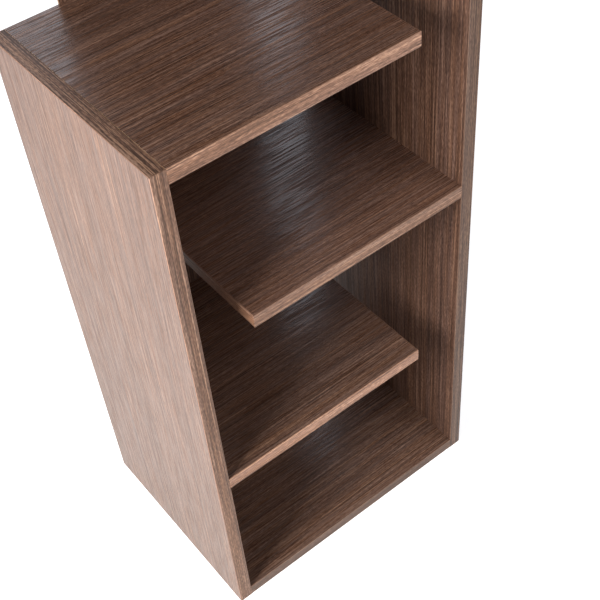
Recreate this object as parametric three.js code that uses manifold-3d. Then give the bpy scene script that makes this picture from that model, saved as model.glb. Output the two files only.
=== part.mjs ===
// Stepped open shelf tower (desk hutch) of laminated board, held together by cam fittings.
// Millimetres, +Z up, front faces -Y, origin on the floor under the middle of the tower.
//
// A low left side and a tall right side stand on the floor with a bottom board between them.
// Each shelf is fixed at one end only, to the left and to the right side in turn, and stops
// short of the opposite side. A thin back panel, as wide as the stretch that all the shelves
// share, is screwed to their rear edges and leaves a gap beside each side panel. The front
// edges, the shelves' free ends and all edges of the side panels carry a thin edge band.
import * as THREE from 'three';
import { mergeVertices } from 'three/addons/utils/BufferGeometryUtils.js';
import Module from 'manifold-3d';

const wasm = await Module();
wasm.setup();

// ---- driving dimensions -------------------------------------------------------------------
const WIDTH = 400; // over both side panels
const DEPTH = 297; // front to back without the back panel
const BACK = 3; // back panel thickness
const BOARD = 18; // board thickness
const END_GAP = 65; // between a shelf's free end and the opposite side panel
const LOWER_BAY = 235; // clear height under the lower shelf
const MIDDLE_BAY = 220; // clear height under the middle shelf
const UPPER_BAY = 221; // clear height under the upper shelf
const TOP_BAY = 220; // clear height under the top shelf

const BAND = 1; // edge band thickness
const ARRIS = 0.8; // rounding of an edge band's two outer long edges
const ARRIS_STEPS = 3;

const CLEARANCE = 0.3; // between a fitting and the wood or metal round it
const FITTING_SPACING = 192; // between the front and rear cam fittings of a board end
const CAM_SETBACK = 24; // board end to cam axis
const CAM_RADIUS = 7.5;
const CAM_RECESS = 0.5; // the cam's slotted face lies this deep in the board's underside
const CAM_CROWN = 4; // bolt axis to the cam's inner end
const CAM_CHAMBER_RADIUS = 5.2; // the hollow in which the bolt head is held
const CAM_TURN = 180; // degrees from locked to open
const CROSS_LENGTH = 8; // screwdriver cross in the cam's face
const CROSS_WIDTH = 1.6;
const CROSS_DEPTH = 2;
const BOLT_HEAD_RADIUS = 3.2;
const BOLT_HEAD_LENGTH = 3;
const BOLT_NECK_RADIUS = 2.3;
const BOLT_SHANK_RADIUS = 3.2;
const BOLT_COLLAR_RADIUS = 3.9;
const BOLT_COLLAR_LENGTH = 1.5;
const THREAD_RADIUS = 2.5;
const THREAD_LENGTH = 11; // screwed into the side panel
const BOLT_CHAMFER = 0.5;
const DOWEL_RADIUS = 4;
const DOWEL_LENGTH = 30;
const DOWEL_IN_PANEL = 10; // the part of the dowel that is in the side panel
const DOWEL_CHAMFER = 1;
const SCREW_RADIUS = 1.5; // countersunk screws that hold the back panel
const SCREW_LENGTH = 19;
const SCREW_POINT = 2;
const SCREW_HEAD_RADIUS = 3.5;
const SCREW_CROSS_LENGTH = 4;
const SCREW_CROSS_WIDTH = 0.9;
const SCREW_CROSS_DEPTH = 1.2;
const SCREW_OFFSET = 90; // from the middle of the tower to a screw of a pair
const ROUND_STEPS = 16; // facets round a fitting or a drilled hole

// ---- places worked out from them ----------------------------------------------------------
const left = -WIDTH / 2;
const right = WIDTH / 2;
const front = -(DEPTH + BACK) / 2;
const rear = front + DEPTH; // the back panel lies against this plane
const middleOfDepth = (front + rear) / 2;
const innerLeft = left + BOARD;
const innerRight = right - BOARD;
const shelfEndFromLeft = innerRight - END_GAP; // free end of a shelf fixed to the left side
const shelfEndFromRight = innerLeft + END_GAP; // free end of a shelf fixed to the right side

const lowerUnderside = BOARD + LOWER_BAY;
const middleUnderside = lowerUnderside + BOARD + MIDDLE_BAY;
const upperUnderside = middleUnderside + BOARD + UPPER_BAY;
const topUnderside = upperUnderside + BOARD + TOP_BAY;

// ---- materials ----------------------------------------------------------------------------
const walnutBoard = () => new THREE.MeshStandardMaterial({ color: 0x745747, roughness: 0.45 });
const walnutBand = () => new THREE.MeshStandardMaterial({ color: 0xb08c74, roughness: 0.5 });
const zinc = () => new THREE.MeshStandardMaterial({
  color: 0xb9babb, roughness: 0.4, metalness: 0.9, flatShading: true,
});
const steel = () => new THREE.MeshStandardMaterial({
  color: 0xc4c1b4, roughness: 0.3, metalness: 1, flatShading: true,
});
const beech = () => new THREE.MeshStandardMaterial({ color: 0xd2aa78, roughness: 0.7 });

const hutch = new THREE.Group();

function addPiece(name, geometry, material) {
  const mesh = new THREE.Mesh(geometry, material);
  mesh.name = name;
  hutch.add(mesh);
  return mesh;
}

// ---- cutting and joining ------------------------------------------------------------------
function solid(geometry) {
  const bare = geometry.clone();
  bare.deleteAttribute('normal');
  bare.deleteAttribute('uv');
  const merged = mergeVertices(bare);
  return new wasm.Manifold(new wasm.Mesh({
    numProp: 3,
    vertProperties: new Float32Array(merged.attributes.position.array),
    triVerts: new Uint32Array(merged.index.array),
  }));
}

function geometryOf(body) {
  const mesh = body.getMesh();
  const geometry = new THREE.BufferGeometry();
  geometry.setAttribute('position', new THREE.BufferAttribute(mesh.vertProperties, 3));
  geometry.setIndex(new THREE.BufferAttribute(mesh.triVerts, 1));
  geometry.computeVertexNormals();
  return geometry;
}

function cut(geometry, tools) {
  let body = solid(geometry);
  for (const tool of tools) body = body.subtract(solid(tool));
  return geometryOf(body);
}

// A box given by its lowest corner and its size.
function block(x, y, z, width, depth, height) {
  const box = new THREE.BoxGeometry(width, depth, height);
  return box.translate(x + width / 2, y + depth / 2, z + height / 2);
}

// A drill along +X or -X (direction 1 or -1) that starts at x, along +Z that starts at z, or
// along -Y that starts at y.
function drillAcross(x, y, z, direction, radius, length) {
  const drill = new THREE.CylinderGeometry(radius, radius, length, ROUND_STEPS);
  return drill.rotateZ(Math.PI / 2).translate(x + direction * length / 2, y, z);
}

function drillUp(x, y, z, radius, length) {
  const drill = new THREE.CylinderGeometry(radius, radius, length, ROUND_STEPS);
  return drill.rotateX(Math.PI / 2).translate(x, y, z + length / 2);
}

function drillForwards(x, y, z, radius, length) {
  const drill = new THREE.CylinderGeometry(radius, radius, length, ROUND_STEPS);
  return drill.translate(x, y - length / 2, z);
}

// ---- the joints between a board end and a side panel -----------------------------------------
// Each joint is at a side panel's inner face: two cam fittings and, between them, one dowel.
// reach is the direction from the panel's face into the board.
const joints = [
  { name: 'bottom_left', board: 'bottom_board', face: innerLeft, reach: 1, underside: 0 },
  { name: 'bottom_right', board: 'bottom_board', face: innerRight, reach: -1, underside: 0 },
  { name: 'lower_shelf', board: 'lower_shelf', face: innerLeft, reach: 1, underside: lowerUnderside },
  { name: 'middle_shelf', board: 'middle_shelf', face: innerRight, reach: -1, underside: middleUnderside },
  { name: 'upper_shelf', board: 'upper_shelf', face: innerLeft, reach: 1, underside: upperUnderside },
  { name: 'top_shelf', board: 'top_shelf', face: innerRight, reach: -1, underside: topUnderside },
];
const fittingPlaces = [
  { place: 'front', y: middleOfDepth - FITTING_SPACING / 2 },
  { place: 'rear', y: middleOfDepth + FITTING_SPACING / 2 },
];
const boltHeight = BOARD / 2; // bolts and dowels lie in the middle of the board's thickness
const camHeight = boltHeight + CAM_CROWN - CAM_RECESS;

// The holes that a joint needs in its side panel.
function holesInPanel({ face, reach, underside }) {
  const z = underside + boltHeight;
  const into = -reach;
  const threads = fittingPlaces.map(({ y }) => (
    drillAcross(face, y, z, into, THREAD_RADIUS + CLEARANCE, THREAD_LENGTH + CLEARANCE)));
  const dowelLength = DOWEL_IN_PANEL + CLEARANCE;
  const dowel = drillAcross(face, middleOfDepth, z, into, DOWEL_RADIUS + CLEARANCE, dowelLength);
  return [...threads, dowel];
}

// The holes that a joint needs in its board: a cam pocket and a bolt hole twice, a dowel hole.
function holesInBoard({ face, reach, underside }) {
  const z = underside + boltHeight;
  const camX = face + reach * CAM_SETBACK;
  const pocketDepth = CAM_RECESS + camHeight + CLEARANCE;
  const holes = [];
  for (const { y } of fittingPlaces) {
    holes.push(drillUp(camX, y, underside, CAM_RADIUS + CLEARANCE, pocketDepth));
    holes.push(drillAcross(face, y, z, reach, BOLT_COLLAR_RADIUS + CLEARANCE, CAM_SETBACK));
  }
  const dowelLength = DOWEL_LENGTH - DOWEL_IN_PANEL + CLEARANCE;
  holes.push(drillAcross(face, middleOfDepth, z, reach, DOWEL_RADIUS + CLEARANCE, dowelLength));
  return holes;
}

// ---- the screws of the back panel ---------------------------------------------------------
// Two in the lowest and in the highest board, one in each of the others.
const screws = [
  { name: 'bottom_board_left_screw', board: 'bottom_board', x: -SCREW_OFFSET, underside: 0 },
  { name: 'bottom_board_right_screw', board: 'bottom_board', x: SCREW_OFFSET, underside: 0 },
  { name: 'lower_shelf_screw', board: 'lower_shelf', x: 0, underside: lowerUnderside },
  { name: 'middle_shelf_screw', board: 'middle_shelf', x: 0, underside: middleUnderside },
  { name: 'upper_shelf_screw', board: 'upper_shelf', x: 0, underside: upperUnderside },
  { name: 'top_shelf_left_screw', board: 'top_shelf', x: -SCREW_OFFSET, underside: topUnderside },
  { name: 'top_shelf_right_screw', board: 'top_shelf', x: SCREW_OFFSET, underside: topUnderside },
];

function screwHoleInBoard({ x, underside }) {
  const depth = SCREW_LENGTH - BACK + CLEARANCE;
  return drillForwards(x, rear, underside + BOARD / 2, SCREW_RADIUS + CLEARANCE, depth);
}

// ---- edge bands -------------------------------------------------------------------------
// The section of a band lies flat on the middle of the board's edge and stands BAND outwards,
// with its two outer corners rounded. It is carried along the edge from the point start.
function bandSection() {
  const half = BOARD / 2;
  const section = new THREE.Shape();
  section.moveTo(-half, 0);
  section.lineTo(half, 0);
  section.lineTo(half, BAND - ARRIS);
  section.absarc(half - ARRIS, BAND - ARRIS, ARRIS, 0, Math.PI / 2);
  section.lineTo(ARRIS - half, BAND);
  section.absarc(ARRIS - half, BAND - ARRIS, ARRIS, Math.PI / 2, Math.PI);
  section.closePath();
  return section;
}

function addBand(name, outwards, along, start, length) {
  const band = new THREE.ExtrudeGeometry(bandSection(), {
    depth: length, bevelEnabled: false, curveSegments: ARRIS_STEPS,
  });
  const across = outwards.clone().cross(along);
  const place = new THREE.Matrix4().makeBasis(across, outwards, along).setPosition(...start);
  addPiece(name, band.applyMatrix4(place), walnutBand());
}

const leftwards = new THREE.Vector3(-1, 0, 0);
const rightwards = new THREE.Vector3(1, 0, 0);
const forwards = new THREE.Vector3(0, -1, 0);
const backwards = new THREE.Vector3(0, 1, 0);
const upwards = new THREE.Vector3(0, 0, 1);
const frontEdge = front + BAND; // the board's own front and rear edges, under the bands
const rearEdge = rear - BAND;

// ---- side panels --------------------------------------------------------------------------
// A side panel stands on the floor. Its top end has a band across it, and the front and rear
// bands run its full height, over the ends of the top band.
function addSidePanel(side, outerX, height, face) {
  const topEdge = height - BAND;
  const middle = outerX + BOARD / 2;
  const board = block(outerX, frontEdge, 0, BOARD, rearEdge - frontEdge, topEdge);
  const holes = joints.filter((joint) => joint.face === face).flatMap(holesInPanel);
  addPiece(`${side}_side_panel`, cut(board, holes), walnutBoard());
  addBand(`${side}_side_front_band`, forwards, upwards, [middle, frontEdge, 0], height);
  addBand(`${side}_side_rear_band`, backwards, upwards, [middle, rearEdge, 0], height);
  const topBandLength = rearEdge - frontEdge;
  addBand(`${side}_side_top_band`, upwards, backwards, [middle, frontEdge, topEdge], topBandLength);
}

addSidePanel('left', left, upperUnderside + BOARD, innerLeft);
addSidePanel('right', innerRight, topUnderside + BOARD, innerRight);

// ---- bottom board and shelves ---------------------------------------------------------------
// A board lies between startX and endX, with its rear edge bare. freeEnd is leftwards or
// rightwards where that end stands free, with a band on it, and null where both ends meet a
// side panel.
function addBoard(name, startX, endX, underside, freeEnd) {
  const boardStart = startX + (freeEnd === leftwards ? BAND : 0);
  const boardEnd = endX - (freeEnd === rightwards ? BAND : 0);
  const middle = underside + BOARD / 2;
  const boardDepth = rear - frontEdge;
  const board = block(boardStart, frontEdge, underside, boardEnd - boardStart, boardDepth, BOARD);
  const holes = [
    ...joints.filter((joint) => joint.board === name).flatMap(holesInBoard),
    ...screws.filter((screw) => screw.board === name).map(screwHoleInBoard),
  ];
  addPiece(name, cut(board, holes), walnutBoard());
  addBand(`${name}_front_band`, forwards, rightwards, [startX, frontEdge, middle], endX - startX);
  if (freeEnd) {
    const endEdge = freeEnd === leftwards ? boardStart : boardEnd;
    addBand(`${name}_end_band`, freeEnd, backwards, [endEdge, frontEdge, middle], boardDepth);
  }
}

addBoard('bottom_board', innerLeft, innerRight, 0, null);
addBoard('lower_shelf', innerLeft, shelfEndFromLeft, lowerUnderside, rightwards);
addBoard('middle_shelf', shelfEndFromRight, innerRight, middleUnderside, leftwards);
addBoard('upper_shelf', innerLeft, shelfEndFromLeft, upperUnderside, rightwards);
addBoard('top_shelf', shelfEndFromRight, innerRight, topUnderside, leftwards);

// ---- back panel ---------------------------------------------------------------------------
// Profiles of the screws and of their holes run along Y, from the screw's outer face at 0.
function turnedAlongY(profile) {
  const points = profile.map(([radius, distance]) => new THREE.Vector2(radius, distance));
  return new THREE.LatheGeometry(points, ROUND_STEPS);
}

const countersink = SCREW_HEAD_RADIUS - SCREW_RADIUS;

function screwHoleInBack({ x, underside }) {
  const sideways = CLEARANCE * Math.SQRT2; // keeps CLEARANCE square to the conical seat
  return turnedAlongY([
    [0, -BACK - 1],
    [SCREW_RADIUS + sideways, -BACK - 1],
    [SCREW_RADIUS + sideways, -countersink],
    [SCREW_HEAD_RADIUS + sideways, 0],
    [SCREW_HEAD_RADIUS + sideways, 1],
    [0, 1],
  ]).translate(x, rear + BACK, underside + BOARD / 2);
}

function screwGeometry() {
  const body = turnedAlongY([
    [0, -SCREW_LENGTH],
    [SCREW_RADIUS, SCREW_POINT - SCREW_LENGTH],
    [SCREW_RADIUS, -countersink],
    [SCREW_HEAD_RADIUS, 0],
    [0, 0],
  ]);
  const crossArm = (width, height) => (
    block(-width / 2, -SCREW_CROSS_DEPTH, -height / 2, width, SCREW_CROSS_DEPTH + 1, height));
  return cut(body, [
    crossArm(SCREW_CROSS_LENGTH, SCREW_CROSS_WIDTH), crossArm(SCREW_CROSS_WIDTH, SCREW_CROSS_LENGTH),
  ]);
}

const backWidth = shelfEndFromLeft - shelfEndFromRight;
const back = block(shelfEndFromRight, rear, 0, backWidth, BACK, topUnderside + BOARD);
addPiece('back_panel', cut(back, screws.map(screwHoleInBack)), walnutBoard());
for (const { name, x, underside } of screws) {
  const screw = addPiece(name, screwGeometry(), steel());
  screw.position.set(x, rear + BACK, underside + BOARD / 2);
}

// ---- cam locks ------------------------------------------------------------------------------
// A round zinc lock, upright, with the bolt axis at height 0 and the bolt coming from -X when
// locked. The bolt head sits in a chamber that is open at the inner end. The neck of the bolt
// runs in a slot through the wall, which ends in a wider hole that lets the head out once the
// lock is turned by CAM_TURN degrees, clockwise seen from above.
function camLockGeometry() {
  const faceZ = CAM_RECESS - boltHeight;
  const body = drillUp(0, 0, faceZ, CAM_RADIUS, camHeight);
  const chamberFloor = -(BOLT_HEAD_RADIUS + CLEARANCE);
  const chamber = drillUp(0, 0, chamberFloor, CAM_CHAMBER_RADIUS, CAM_CROWN - chamberFloor + 1);

  const slotHalf = BOLT_NECK_RADIUS + CLEARANCE;
  const margin = Math.asin(slotHalf / CAM_CHAMBER_RADIUS);
  const lockedAngle = Math.PI;
  const openAngle = lockedAngle + THREE.MathUtils.degToRad(CAM_TURN);
  const innerRadius = CAM_CHAMBER_RADIUS - 1;
  const outerRadius = CAM_RADIUS + 1;
  const sector = new THREE.Shape();
  sector.absarc(0, 0, outerRadius, lockedAngle - margin, openAngle, false);
  sector.absarc(0, 0, innerRadius, openAngle, lockedAngle - margin, true);
  sector.closePath();
  const slot = new THREE.ExtrudeGeometry(sector, {
    depth: 2 * slotHalf, bevelEnabled: false, curveSegments: ROUND_STEPS,
  }).translate(0, 0, -slotHalf);
  const mouth = drillAcross(0, 0, 0, 1, BOLT_HEAD_RADIUS + CLEARANCE, CAM_RADIUS + 1)
    .rotateZ(openAngle);

  const crossArm = (length, width) => (
    block(-length / 2, -width / 2, faceZ - 1, length, width, CROSS_DEPTH + 1));
  return cut(body, [
    chamber, slot, mouth, crossArm(CROSS_LENGTH, CROSS_WIDTH), crossArm(CROSS_WIDTH, CROSS_LENGTH),
  ]);
}

// ---- cam bolts and dowels -------------------------------------------------------------------
// Both are turned about X. Distances run from the side panel's face: positive into the board.
function turned(profile) {
  const points = profile.map(([radius, distance]) => new THREE.Vector2(radius, distance));
  return new THREE.LatheGeometry(points, ROUND_STEPS).rotateZ(-Math.PI / 2);
}

function camBoltGeometry() {
  const headStart = CAM_SETBACK - BOLT_HEAD_LENGTH / 2;
  const headEnd = headStart + BOLT_HEAD_LENGTH;
  const shankEnd = CAM_SETBACK - CAM_RADIUS - 2 * CLEARANCE;
  const collarEnd = CLEARANCE + BOLT_COLLAR_LENGTH;
  return turned([
    [0, -THREAD_LENGTH],
    [THREAD_RADIUS - BOLT_CHAMFER, -THREAD_LENGTH],
    [THREAD_RADIUS, BOLT_CHAMFER - THREAD_LENGTH],
    [THREAD_RADIUS, CLEARANCE],
    [BOLT_COLLAR_RADIUS, CLEARANCE],
    [BOLT_COLLAR_RADIUS, collarEnd],
    [BOLT_SHANK_RADIUS, collarEnd],
    [BOLT_SHANK_RADIUS, shankEnd - BOLT_CHAMFER],
    [BOLT_NECK_RADIUS, shankEnd],
    [BOLT_NECK_RADIUS, headStart],
    [BOLT_HEAD_RADIUS, headStart],
    [BOLT_HEAD_RADIUS, headEnd - BOLT_CHAMFER],
    [BOLT_HEAD_RADIUS - BOLT_CHAMFER, headEnd],
    [0, headEnd],
  ]);
}

function dowelGeometry() {
  const far = DOWEL_LENGTH - DOWEL_IN_PANEL;
  return turned([
    [0, -DOWEL_IN_PANEL],
    [DOWEL_RADIUS - DOWEL_CHAMFER, -DOWEL_IN_PANEL],
    [DOWEL_RADIUS, DOWEL_CHAMFER - DOWEL_IN_PANEL],
    [DOWEL_RADIUS, far - DOWEL_CHAMFER],
    [DOWEL_RADIUS - DOWEL_CHAMFER, far],
    [0, far],
  ]);
}

// A fitting is turned by half a turn about Z where the board reaches towards -X.
function addFitting(name, geometry, material, x, y, z, reach) {
  const piece = addPiece(name, geometry, material);
  piece.position.set(x, y, z);
  piece.rotation.z = reach > 0 ? 0 : Math.PI;
}

for (const { name, face, reach, underside } of joints) {
  const z = underside + boltHeight;
  for (const { place, y } of fittingPlaces) {
    addFitting(`${name}_${place}_cam`, camLockGeometry(), zinc(), face + reach * CAM_SETBACK, y, z, reach);
    addFitting(`${name}_${place}_bolt`, camBoltGeometry(), steel(), face, y, z, reach);
  }
  addFitting(`${name}_dowel`, dowelGeometry(), beech(), face, middleOfDepth, z, reach);
}

export default hutch;
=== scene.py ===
import math

import bpy
import numpy as np
from mathutils import Matrix, Vector


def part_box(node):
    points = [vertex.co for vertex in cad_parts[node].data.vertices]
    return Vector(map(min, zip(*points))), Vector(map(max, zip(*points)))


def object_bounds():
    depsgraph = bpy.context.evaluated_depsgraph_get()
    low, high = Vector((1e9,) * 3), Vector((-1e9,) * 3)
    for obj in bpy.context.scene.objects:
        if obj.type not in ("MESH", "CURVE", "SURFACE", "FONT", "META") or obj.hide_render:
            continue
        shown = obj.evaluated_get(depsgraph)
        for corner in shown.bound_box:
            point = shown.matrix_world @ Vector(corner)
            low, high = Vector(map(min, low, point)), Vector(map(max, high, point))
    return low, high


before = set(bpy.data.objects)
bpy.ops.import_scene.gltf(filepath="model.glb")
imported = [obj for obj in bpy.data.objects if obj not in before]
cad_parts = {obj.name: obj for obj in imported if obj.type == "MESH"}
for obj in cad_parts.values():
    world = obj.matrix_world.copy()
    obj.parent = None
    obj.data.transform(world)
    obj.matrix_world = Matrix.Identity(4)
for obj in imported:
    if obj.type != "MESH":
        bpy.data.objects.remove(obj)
cad_low, cad_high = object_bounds()

# ---- The studio ----------------------------------------------------------------------------
# The tower stands on white paper. A soft box on its left does most of the work, a wide and weak
# one fills from the right front, and a cool one behind it puts sheen on the shelves.
MM = 0.001
LAMPS_AIM = Vector((0, 0, 0.4))
ROOM_LIGHT = 0.15
ROOM_COLOUR = (0.93, 0.96, 1, 1)
PAPER_HALF_SPAN = 12.0
PAPER_UNDER_FEET = 0.2 * MM
PAPER_WHITE = (0.80, 0.80, 0.80, 1)
PAPER_DULLNESS = 0.9
PAPER_GLOW = 0.62

bpy.context.scene.view_settings.view_transform = "Standard"


def soft_box(name, azimuth, elevation, distance, width, height, watts, colour):
    """A rectangle of light that faces the aim from distance away. Its azimuth is counted in
    degrees from +Y towards +X, and its elevation upwards from the floor."""
    turn = math.radians(azimuth)
    rise = math.radians(elevation)
    way = Vector((math.sin(turn) * math.cos(rise), math.cos(turn) * math.cos(rise), math.sin(rise)))
    light = bpy.data.lights.new(name, "AREA")
    light.shape = "RECTANGLE"
    light.size = width
    light.size_y = height
    light.energy = watts
    light.color = colour
    holder = bpy.data.objects.new(name, light)
    bpy.context.scene.collection.objects.link(holder)
    holder.location = LAMPS_AIM + distance * way
    holder.rotation_euler = (-way).to_track_quat("-Z", "Y").to_euler()
    holder.visible_camera = False


soft_box("left_soft_box", azimuth=-105, elevation=27, distance=1.85,
         width=0.75, height=0.95, watts=56, colour=(1, 0.98, 0.94))
soft_box("right_fill_box", azimuth=140, elevation=28, distance=2.6,
         width=2.0, height=2.0, watts=26, colour=(1, 0.98, 0.96))
soft_box("rear_wash", azimuth=30, elevation=38, distance=3.0,
         width=2.6, height=2.2, watts=33, colour=(0.86, 0.90, 1))

room = bpy.data.worlds.new("room")
bpy.context.scene.world = room
room.use_nodes = True
room_background = room.node_tree.nodes["Background"]
room_background.inputs["Color"].default_value = ROOM_COLOUR
room_background.inputs["Strength"].default_value = ROOM_LIGHT

paper_corners = [(-PAPER_HALF_SPAN, -PAPER_HALF_SPAN, 0), (PAPER_HALF_SPAN, -PAPER_HALF_SPAN, 0),
                 (PAPER_HALF_SPAN, PAPER_HALF_SPAN, 0), (-PAPER_HALF_SPAN, PAPER_HALF_SPAN, 0)]
paper_sheet = bpy.data.meshes.new("paper_floor")
paper_sheet.from_pydata(paper_corners, [], [(0, 1, 2, 3)])
floor = bpy.data.objects.new("paper_floor", paper_sheet)
bpy.context.scene.collection.objects.link(floor)
floor.location.z = cad_low.z - PAPER_UNDER_FEET
paper = bpy.data.materials.new("white_paper")
paper.use_nodes = True
paper_shader = paper.node_tree.nodes["Principled BSDF"]
paper_shader.inputs["Base Color"].default_value = PAPER_WHITE
paper_shader.inputs["Roughness"].default_value = PAPER_DULLNESS
paper_shader.inputs["Emission Color"].default_value = (1, 1, 1, 1)
paper_shader.inputs["Emission Strength"].default_value = PAPER_GLOW
paper_sheet.materials.append(paper)

# ---- The camera ----------------------------------------------------------------------------
# It stands 1.2 m from what it aims at, looks down on the tower's left front corner, and is
# rolled a little to the right.
CAMERA_PLACE = Vector((-0.5255, -0.8417, 1.3843))
CAMERA_AIM = Vector((-0.0564, -0.1500, 0.4904))
CAMERA_ROLL = 5.84
CAMERA_LENS = 68.33
CAMERA_SENSOR = 36

camera = bpy.data.objects.new("camera", bpy.data.cameras.new("camera"))
bpy.context.scene.collection.objects.link(camera)
camera.data.lens = CAMERA_LENS
camera.data.sensor_width = CAMERA_SENSOR
camera.location = CAMERA_PLACE
level_look = (CAMERA_AIM - CAMERA_PLACE).to_track_quat("-Z", "Y")
roll = Matrix.Rotation(math.radians(-CAMERA_ROLL), 3, "Z").to_quaternion()
camera.rotation_mode = "QUATERNION"
camera.rotation_quaternion = level_look @ roll
bpy.context.scene.camera = camera

# ---- The boards ----------------------------------------------------------------------------
# Particle board 18 mm thick, faced on both sides with printed, embossed walnut melamine. The
# grain stands upright on the side panels and runs sideways on the bottom board and the shelves.
# Cam locks, bolts and dowels join their ends, and the raw core shows where a face was cut.
AXES = {"x": 0, "y": 1, "z": 2}
WALNUT = ((0.0, (0.050, 0.0255, 0.0168)), (0.35, (0.109, 0.0553, 0.0366)),
          (0.62, (0.166, 0.0878, 0.0594)), (1.0, (0.302, 0.1800, 0.1267)))
REDDER = np.array((1.0, 0.95, 0.94))
TINTS = ((0.35, (0.95, 1.0, 1.08)), (0.65, (1.05, 1.0, 0.90)))
PORE_BROWN = (0.045, 0.022, 0.016)
PORE_EDGE = ((0.60, (0, 0, 0)), (0.70, (1, 1, 1)))
PORE_DARKNESS = 0.45

# Streaks of the print: width and length in metres, octaves, and a step of its own in the seeds.
SWAY = (0.15, 1.2, 1.0, 0.5)
FIGURE = (0.030, 2.2, 1.5, 0)
RIBBON = (0.0065, 1.0, 2.0, 1)
LINE = (0.0021, 0.50, 2.0, 2)
THREAD = (0.0010, 0.16, 1.0, 3)
PORE = (0.0011, 0.014, 0.0, 4)
GROOVE = (0.0013, 0.055, 1.0, 5)
FLECK = (0.0009, 0.005, 0.0, 7)
WARMTH = (0.009, 0.8, 2.0, 8)
PRINT_SHARES = {FIGURE: 0.42, RIBBON: 0.42, LINE: 1.25, THREAD: 1.8, FLECK: 0.85}
OCTAVE_SHARE = 0.55
SEED_STEPS = (7.3, 3.1, 5.7)
SWAY_REACH = 0.022

GROOVE_EDGES = (0.43, 0.53)
LINE_HEIGHT = 0.4
GROOVE_DEPTH = 0.45
PORE_DEPTH = 0.3
GROOVE_DULLNESS = 2.4
FACE_BUMP = 0.8
FACE_TOLERANCE = 0.1 * MM
FACE_IOR = 1.5

CHIPS_PER_METRE = (420, 420, 900)
CHIP_COLOURS = ((0, (0.24, 0.15, 0.085)), (0.5, (0.42, 0.29, 0.17)), (1, (0.58, 0.43, 0.28)))
CORE_DULLNESS = 0.76

# Tone of the print, which also holds painted light and shade (the lit left side lighter, the right side
# panel and upper shelf darker), its contrast, depth of the embossing in mm, roughness, strength of
# reflection.
BOARD_LOOKS = {
    "left_side_panel": (1.07, 0.6, 0.07, 0.38, 0.66),
    "right_side_panel": (0.70 * REDDER, 1.0, 0.07, 0.52, 0.28),
    "bottom_board": (0.94, 0.85, 0.16, 0.25, 0.56),
    "lower_shelf": (0.92, 0.75, 0.16, 0.25, 0.56),
    "middle_shelf": (0.95 * REDDER, 0.75, 0.16, 0.25, 0.56),
    "upper_shelf": (0.71 * REDDER, 1.0, 0.16, 0.25, 0.56),
    "top_shelf": (0.90, 1.0, 0.16, 0.25, 0.56),
}
FIRST_BOARD_SEED = 3.0
BOARD_SEED_STEP = 1.9

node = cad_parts


class Wire:
    """What comes out of a socket. Sums with numbers or other wires add Math nodes."""

    def __init__(self, finish, socket):
        self.finish = finish
        self.socket = socket

    def math(self, operation, *values):
        return self.finish.node("ShaderNodeMath", {"operation": operation}, dict(enumerate(values)))

    def __add__(self, other):
        return self.math("ADD", self, other)

    def __sub__(self, other):
        return self.math("SUBTRACT", self, other)

    def __rsub__(self, other):
        return self.math("SUBTRACT", other, self)

    def __mul__(self, other):
        return self.math("MULTIPLY", self, other)

    def __gt__(self, other):
        return self.math("GREATER_THAN", self, other)

    def __abs__(self):
        return self.math("ABSOLUTE", self)

    def largest(self, other):
        return self.math("MAXIMUM", self, other)

    __radd__ = __add__
    __rmul__ = __mul__


def set_stops(elements, stops):
    """Gives a ramp its stops, each a position and a linear colour, in rising order. A new ramp
    has two, which become the first and the last."""
    elements[0].position = stops[0][0]
    elements[-1].position = stops[-1][0]
    for position, _ in stops[1:-1]:
        elements.new(position)
    for element, (_, colour) in zip(elements, stops):
        element.color = (*colour, 1)


class Finish:
    """A material: one Principled shader, and the nodes that feed it."""

    def __init__(self, name, **steady):
        self.material = bpy.data.materials.new(name)
        self.material.use_nodes = True
        self.tree = self.material.node_tree
        self.shader = self.tree.nodes["Principled BSDF"]
        for socket, value in steady.items():
            self.shader.inputs[socket.replace("_", " ")].default_value = value

    def node(self, kind, settings=None, inputs=None, output=0):
        """A node of that type. Its settings are made first, a ramp's stops among them, and then
        its sockets get values or wires."""
        made = self.tree.nodes.new(kind)
        for key, value in (settings or {}).items():
            if key == "stops":
                set_stops(made.color_ramp.elements, value)
            else:
                setattr(made, key, value)
        for key, value in (inputs or {}).items():
            if isinstance(value, Wire):
                self.tree.links.new(value.socket, made.inputs[key])
            else:
                made.inputs[key].default_value = value
        return Wire(self, made.outputs[output])

    def place(self):
        """Where a point of the piece is, in metres."""
        return self.node("ShaderNodeTexCoord", output="Object")

    def noise(self, place, grains_per_metre, octaves):
        return self.node("ShaderNodeTexNoise", {}, {
            "Vector": place, "Scale": grains_per_metre, "Detail": octaves})

    def ramp(self, value, stops):
        return self.node("ShaderNodeValToRGB", {"stops": stops}, {0: value})

    def mix(self, share, first, second, blend="MIX"):
        return self.node("ShaderNodeMix", {"data_type": "RGBA", "blend_type": blend},
                         {0: share, 6: first, 7: second}, output=2)

    def vector(self, operation, inputs):
        return self.node("ShaderNodeVectorMath", {"operation": operation}, inputs)

    def part(self, vector, axis):
        return self.node("ShaderNodeSeparateXYZ", {}, {0: vector}, output=axis)

    def bump(self, strength, distance, height):
        return self.node("ShaderNodeBump", {}, {
            "Strength": strength, "Distance": distance, "Height": height})

    def feed(self, **wires):
        for socket, wire in wires.items():
            self.tree.links.new(wire.socket, self.shader.inputs[socket.replace("_", " ")])

    def put_on(self, piece):
        piece.data.materials.clear()
        piece.data.materials.append(self.material)


def streaks(finish, place, along, kind, seed):
    """Noise drawn out along the grain: each axis is divided by the streak's size on it."""
    wide, long, octaves, seed_step = kind
    stretch = [1 / wide] * 3
    stretch[AXES[along]] = 1 / long
    corner = tuple((seed + seed_step) * step for step in SEED_STEPS)
    laid = finish.node("ShaderNodeMapping", {}, {"Vector": place, "Location": corner, "Scale": stretch})
    return finish.node("ShaderNodeTexNoise", {}, {
        "Vector": laid, "Scale": 1.0, "Detail": octaves, "Roughness": OCTAVE_SHARE})


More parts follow.
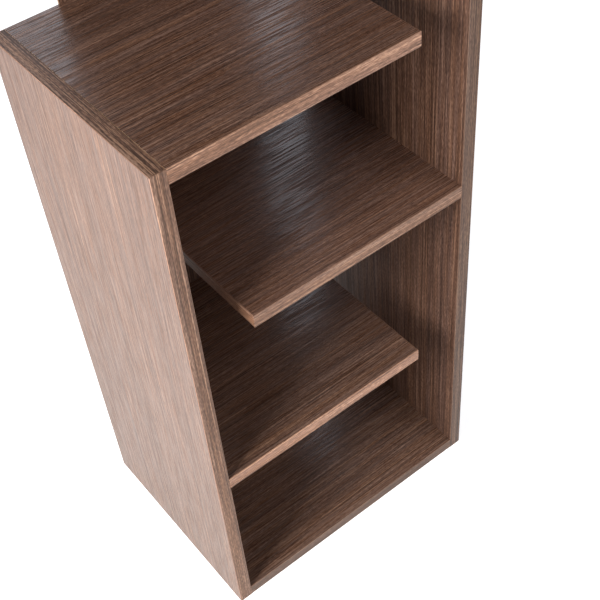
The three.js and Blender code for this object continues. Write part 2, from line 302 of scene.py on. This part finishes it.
def walnut_print(finish, along, seed, lightness, contrast=1.0):
    """Place, colour, height and grooves of the printed grain. The tone is 0.5 plus each kind of
    streak, less 0.5, times its share. Slow warm and cool bands tint it, and thin dark pores are
    cut into it. The embossing is short grooves along the grain, 1 in a groove and 0 outside."""
    place = finish.place()
    sway = (streaks(finish, place, along, SWAY, seed) - 0.5) * SWAY_REACH
    shift = finish.vector("SCALE", {0: (1, 1, 1), "Scale": sway})
    bent = finish.vector("ADD", {0: place, 1: shift})
    drawn = {kind: streaks(finish, bent, along, kind, seed) for kind in PRINT_SHARES}
    tone = 0.5
    for kind, share in PRINT_SHARES.items():
        tone = tone + (drawn[kind] - 0.5) * (share * contrast)
    browns = [(position, tuple(np.multiply(colour, lightness))) for position, colour in WALNUT]
    printed = finish.ramp(tone, browns)
    tint = finish.ramp(streaks(finish, bent, along, WARMTH, seed), TINTS)
    tinted = finish.mix(min(contrast, 1.0), printed, tint, "MULTIPLY")
    pores = streaks(finish, bent, along, PORE, seed)
    in_pore = finish.node("ShaderNodeRGBToBW", {}, {0: finish.ramp(pores, PORE_EDGE)})
    colour = finish.mix(in_pore * PORE_DARKNESS, tinted, (*np.multiply(PORE_BROWN, lightness), 1))
    groove_start, groove_end = GROOVE_EDGES
    groove = finish.node("ShaderNodeMapRange", {"interpolation_type": "SMOOTHSTEP"}, {
        "Value": streaks(finish, bent, along, GROOVE, seed),
        "From Min": groove_start, "From Max": groove_end, "To Min": 1.0, "To Max": 0.0})
    height = drawn[LINE] * LINE_HEIGHT - groove * GROOVE_DEPTH - pores * PORE_DEPTH
    return place, colour, height, groove


def chipboard(finish, place):
    """The raw core: pale flat chips a few millimetres long, by a stretched cell pattern."""
    laid = finish.node("ShaderNodeMapping", {}, {"Vector": place, "Scale": CHIPS_PER_METRE})
    chips = finish.node("ShaderNodeTexVoronoi", {}, {"Vector": laid, "Scale": 1.0}, output="Color")
    return finish.ramp(finish.node("ShaderNodeRGBToBW", {}, {0: chips}), CHIP_COLOURS)


def faced_board(name, along, across_thickness, seed):
    """Melamine on the two faces that bound the thickness, raw core on every cut surface."""
    tone, contrast, relief, dullness, reflection = BOARD_LOOKS[name]
    finish = Finish(name, IOR=FACE_IOR, Specular_IOR_Level=reflection)
    place, printed, height, groove = walnut_print(finish, along, seed, tone, contrast)
    low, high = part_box(name)
    middle = (low + high)[AXES[across_thickness]] / 2
    reach = (high - low)[AXES[across_thickness]] / 2
    depth = finish.part(place, AXES[across_thickness])
    on_face = abs(depth - middle) > reach - FACE_TOLERANCE
    face_shine = groove * (GROOVE_DULLNESS * relief) + dullness - CORE_DULLNESS
    finish.feed(Base_Color=finish.mix(on_face, chipboard(finish, place), printed),
                Roughness=on_face * face_shine + CORE_DULLNESS,
                Normal=finish.bump(FACE_BUMP, relief * MM, height * on_face))
    finish.put_on(node[name])


for order, name in enumerate(BOARD_LOOKS):
    board_seed = FIRST_BOARD_SEED + BOARD_SEED_STEP * order
    if name.endswith("_side_panel"):
        faced_board(name, along="z", across_thickness="x", seed=board_seed)
    else:
        faced_board(name, along="x", across_thickness="z", seed=board_seed)

# ---- The back panel --------------------------------------------------------------------------
# Hardboard 3 mm thick, with the same print on the side that faces the shelves. Its other side
# and its cut edges are plain brown pressed fibre. Steel screws hold it to the boards.
HARDBOARD_SEED = 31.0
FIBRES_PER_METRE = 900.0
FIBRE_COLOURS = ((0.3, (0.15, 0.083, 0.042)), (0.7, (0.26, 0.155, 0.085)))
FIBRE_DULLNESS = 0.8
PRINTED_SIDE_GLOSS = 0.42
HARDBOARD_BUMP = 0.5
HARDBOARD_RELIEF = 0.12 * MM

hardboard = Finish("printed_hardboard", IOR=FACE_IOR)
panel_place, panel_print, panel_emboss, _ = walnut_print(hardboard, "z", HARDBOARD_SEED, 1.0)
panel_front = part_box("back_panel")[0].y
printed_side = 1 - (hardboard.part(panel_place, AXES["y"]) > panel_front + FACE_TOLERANCE)
fibre = hardboard.noise(panel_place, FIBRES_PER_METRE, 3.0)
fibre_colour = hardboard.ramp(fibre, FIBRE_COLOURS)
panel_height = panel_emboss * printed_side + fibre
hardboard.feed(Base_Color=hardboard.mix(printed_side, fibre_colour, panel_print),
               Roughness=FIBRE_DULLNESS - printed_side * PRINTED_SIDE_GLOSS,
               Normal=hardboard.bump(HARDBOARD_BUMP, HARDBOARD_RELIEF, panel_height))
hardboard.put_on(node["back_panel"])

# ---- The edge bands --------------------------------------------------------------------------
# Strips 1 mm thick with the same print along their length, glued to the open edges. Each band has a
# tone of its own, which carries painted light and shade as well as the print. Their two outer edges are
# scraped round, which shows the paler body of the strip as a thin line, made paler still by a painted
# highlight.
# Tone of the print with its painted light and shade, its contrast, and how many times paler the scraped
# edges are, partly as a painted highlight.
BAND_LOOKS = {
    "left_side_front_band": (1.32, 0.9, 1.95),
    "left_side_top_band": (0.92, 1.6, 2.4),
    "right_side_front_band": (0.77, 0.9, 1.40),
    "bottom_board_front_band": (0.94, 0.9, 1.31),
    "lower_shelf_front_band": (2.55, 0.9, 0.90),
    "middle_shelf_front_band": (1.58, 0.9, 1.12),
    "middle_shelf_end_band": (1.42, 0.9, 1.50),
    "upper_shelf_front_band": (2.02, 0.9, 1.06),
}
OTHER_BANDS_LOOK = (1.25, 0.9, 1.80)
ROLL_TINT = np.array((1.0, 0.99, 0.94))
STRIP_BODY = (0.140, 0.082, 0.057)
STRIP_BODY_SHARE = 0.65
SQUARE_ON = 0.99
BAND_DULLNESS = 0.5
BAND_REFLECTION = 0.3
BAND_BUMP = 0.35
BAND_RELIEF = 0.12 * MM
FIRST_BAND_SEED = 40.0
BAND_SEED_STEP = 1.3


def edge_band(piece, seed):
    """The print, turned paler where the surface slants, which is only on the rounded outer edges; that
    paleness is partly the strip's paler body and partly a painted highlight. A face is square on when
    the largest part of its normal is nearly 1."""
    low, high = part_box(piece)
    spans = high - low
    along = max(AXES, key=lambda axis: spans[AXES[axis]])
    tone, contrast, paleness = BAND_LOOKS.get(piece, OTHER_BANDS_LOOK)
    finish = Finish(piece, Roughness=BAND_DULLNESS, IOR=FACE_IOR, Specular_IOR_Level=BAND_REFLECTION)
    _, printed, height, _ = walnut_print(finish, along, seed, tone * ROLL_TINT, contrast)
    facing = finish.vector("ABSOLUTE", {0: finish.node("ShaderNodeNewGeometry", output="True Normal")})
    x, y, z = (finish.part(facing, axis) for axis in AXES.values())
    slant = 1 - (x.largest(y).largest(z) > SQUARE_ON)
    # The slanting edges get the strip's paler body, lifted further as a painted highlight.
    pale_body_and_highlight = tuple(tone * paleness * share for share in STRIP_BODY)
    traces = finish.vector("SCALE", {0: printed, "Scale": paleness})
    scraped_edge_and_highlight = finish.mix(STRIP_BODY_SHARE, traces, (*pale_body_and_highlight, 1))
    finish.feed(Base_Color=finish.mix(slant, printed, scraped_edge_and_highlight),
                Normal=finish.bump(BAND_BUMP, BAND_RELIEF, height))
    finish.put_on(node[piece])


bands = sorted(name for name in node if name.endswith("_band"))
for order, piece in enumerate(bands):
    edge_band(piece, FIRST_BAND_SEED + BAND_SEED_STEP * order)

# ---- The cam locks ---------------------------------------------------------------------------
# Die-cast zinc, dull grey with a fine grainy skin, pushed into pockets in the undersides. Half
# a turn of a screwdriver pulls the bolt's head in.
ZINC_GRAINS_PER_METRE = 2600.0
ZINC_CLOUDS_PER_METRE = 220.0
ZINC_COLOURS = ((0.3, (0.42, 0.43, 0.44)), (0.7, (0.60, 0.61, 0.62)))
ZINC_DULLNESS = 0.3
ZINC_BUMP = 0.4
ZINC_RELIEF = 0.05 * MM

zinc = Finish("cast_zinc", Metallic=1.0)
zinc_place = zinc.place()
zinc_grain = zinc.noise(zinc_place, ZINC_GRAINS_PER_METRE, 2.0)
zinc_cloud = zinc.noise(zinc_place, ZINC_CLOUDS_PER_METRE, 2.0)
zinc.feed(Base_Color=zinc.ramp(zinc_cloud, ZINC_COLOURS),
          Roughness=zinc_grain * ZINC_DULLNESS + ZINC_DULLNESS,
          Normal=zinc.bump(ZINC_BUMP, ZINC_RELIEF, zinc_grain))
for name in node:
    if name.endswith("_cam"):
        zinc.put_on(node[name])

# ---- The cam bolts and the screws --------------------------------------------------------------
# Yellow zinc-plated steel. A bolt's one end is driven into the side panel, and its round head
# sits in the cam lock. The screws go through the back panel, with their heads countersunk.
PLATING_CLOUDS_PER_METRE = 300.0
PLATING_COLOURS = ((0.3, (0.62, 0.55, 0.34)), (0.7, (0.74, 0.70, 0.58)))
PLATING_DULLNESS = 0.18
PLATING_DULLNESS_RANGE = 0.25

plated = Finish("plated_steel", Metallic=1.0)
plated_cloud = plated.noise(plated.place(), PLATING_CLOUDS_PER_METRE, 3.0)
plated.feed(Base_Color=plated.ramp(plated_cloud, PLATING_COLOURS),
            Roughness=plated_cloud * PLATING_DULLNESS_RANGE + PLATING_DULLNESS)
for name in node:
    if name.endswith(("_bolt", "_screw")):
        plated.put_on(node[name])

# ---- The dowels --------------------------------------------------------------------------------
# Turned beech pegs, glued partly into the side panel and partly into the board's end, with the
# grain along their length.
BEECH_FLECK = (0.0006, 0.004, 2.0, 0)
BEECH_COLOURS = ((0.3, (0.44, 0.28, 0.15)), (0.7, (0.62, 0.43, 0.26)))
BEECH_DULLNESS = 0.65
BEECH_SEED = 90.0

beech = Finish("beech", Roughness=BEECH_DULLNESS)
beech_fleck = streaks(beech, beech.place(), "x", BEECH_FLECK, BEECH_SEED)
beech.feed(Base_Color=beech.ramp(beech_fleck, BEECH_COLOURS))
for name in node:
    if name.endswith("_dowel"):
        beech.put_on(node[name])
